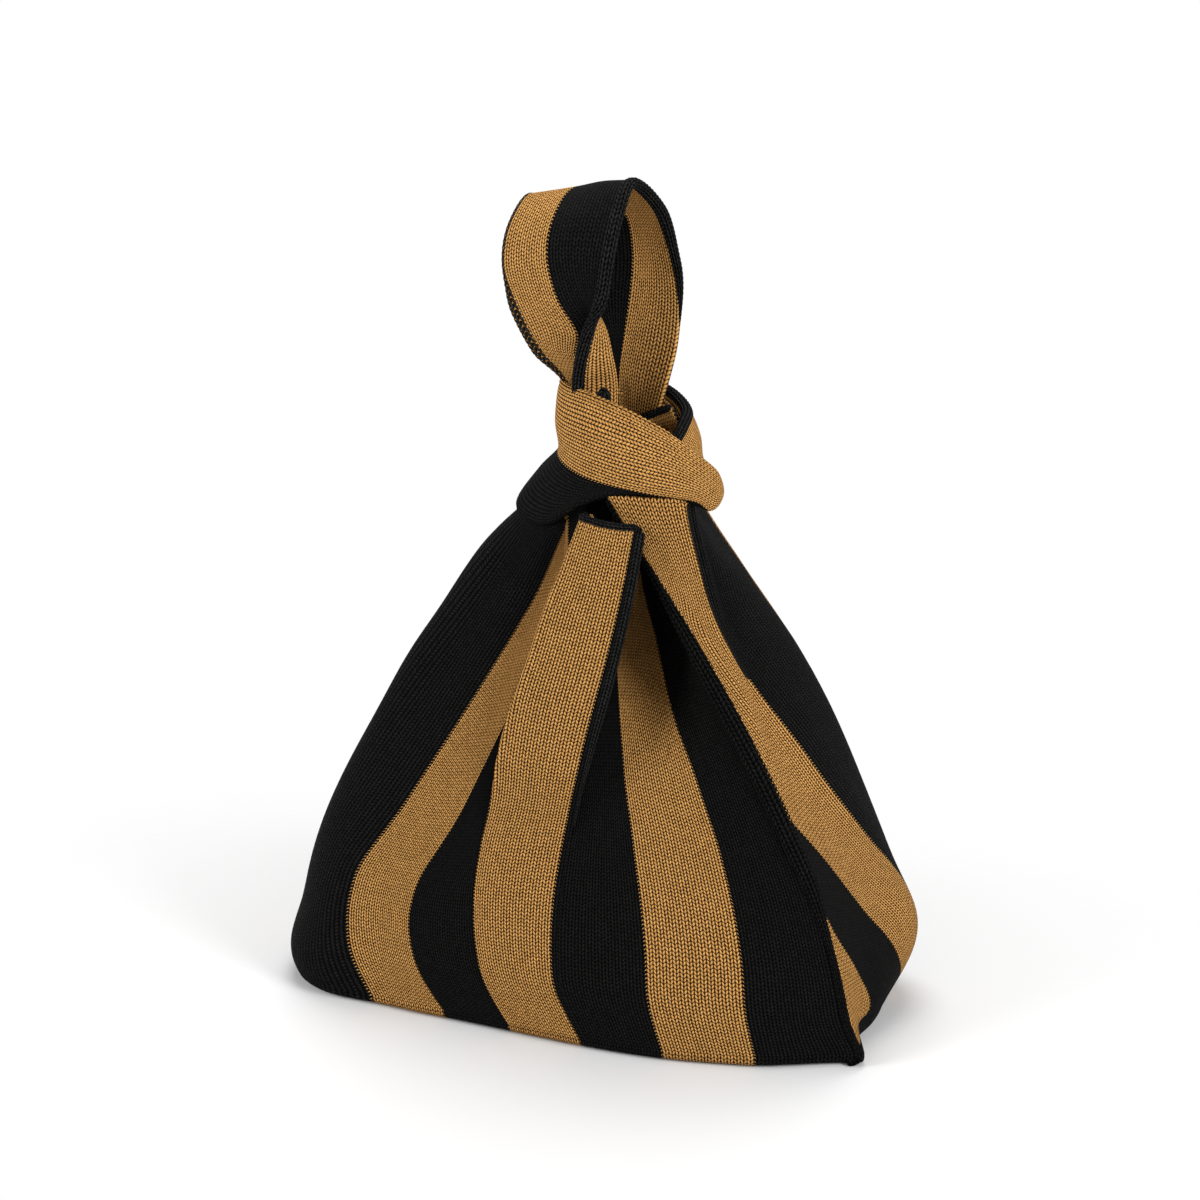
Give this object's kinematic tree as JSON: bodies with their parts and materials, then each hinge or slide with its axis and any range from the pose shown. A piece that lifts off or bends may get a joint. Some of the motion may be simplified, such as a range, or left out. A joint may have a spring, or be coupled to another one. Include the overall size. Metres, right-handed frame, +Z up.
{
  "type": "japanese knot bag",
  "caption": "Striped knitted pouch with a flat foot, gathered at a neck by its short handle, with its long handle drawn up through that collar as a carrying loop.",
  "frame": {"origin": "on the floor, under the middle of the bag's box", "axes": "+Z up, +X to the bag's right as seen from its front, -Y to the front with the flap"},
  "size_m": [0.3174, 0.1355, 0.4353],
  "materials": {
    "striped_knit": "stocking-stitch knit in upright black and tan stripes",
    "tan_knit": "stocking-stitch knit, tan",
    "black_hem": "chain-stitched knit edge, black"
  },
  "bodies": {
    "bag": {"front_panel": "striped_knit", "back_panel": "striped_knit", "base_panel": "striped_knit", "right_side_seam": "black_hem", "left_side_seam": "black_hem", "short_handle_collar": "tan_knit", "collar_top_hem": "black_hem", "collar_lower_hem": "black_hem", "short_handle_back_root": "tan_knit", "back_root_hem": "black_hem"},
    "flap": {"front_flap": "tan_knit", "flap_top_hem": "black_hem", "flap_edge_hem": "black_hem"},
    "long_handle": {"long_handle_front_limb": "striped_knit", "long_handle_back_limb": "striped_knit"},
    "handle_loop": {"long_handle_band": "striped_knit", "long_handle_left_hem": "black_hem", "long_handle_right_hem": "black_hem"}
  },
  "joints": [
    {"name": "flap_lift", "type": "hinge", "parent": "bag", "child": "flap", "pos_m": [-0.013, -0.0645, 0.115], "axis": [1, 0, 0], "range_deg": [0, 35]},
    {"name": "long_handle_draw", "type": "slide", "parent": "bag", "child": "long_handle", "axis": [0, 0, 1], "range_m": [0, 0.016]},
    {"name": "long_handle_swing", "type": "hinge", "parent": "long_handle", "child": "handle_loop", "pos_m": [0.015, 0, 0.288], "axis": [1, 0, 0], "range_deg": [-28, 28]}
  ]
}
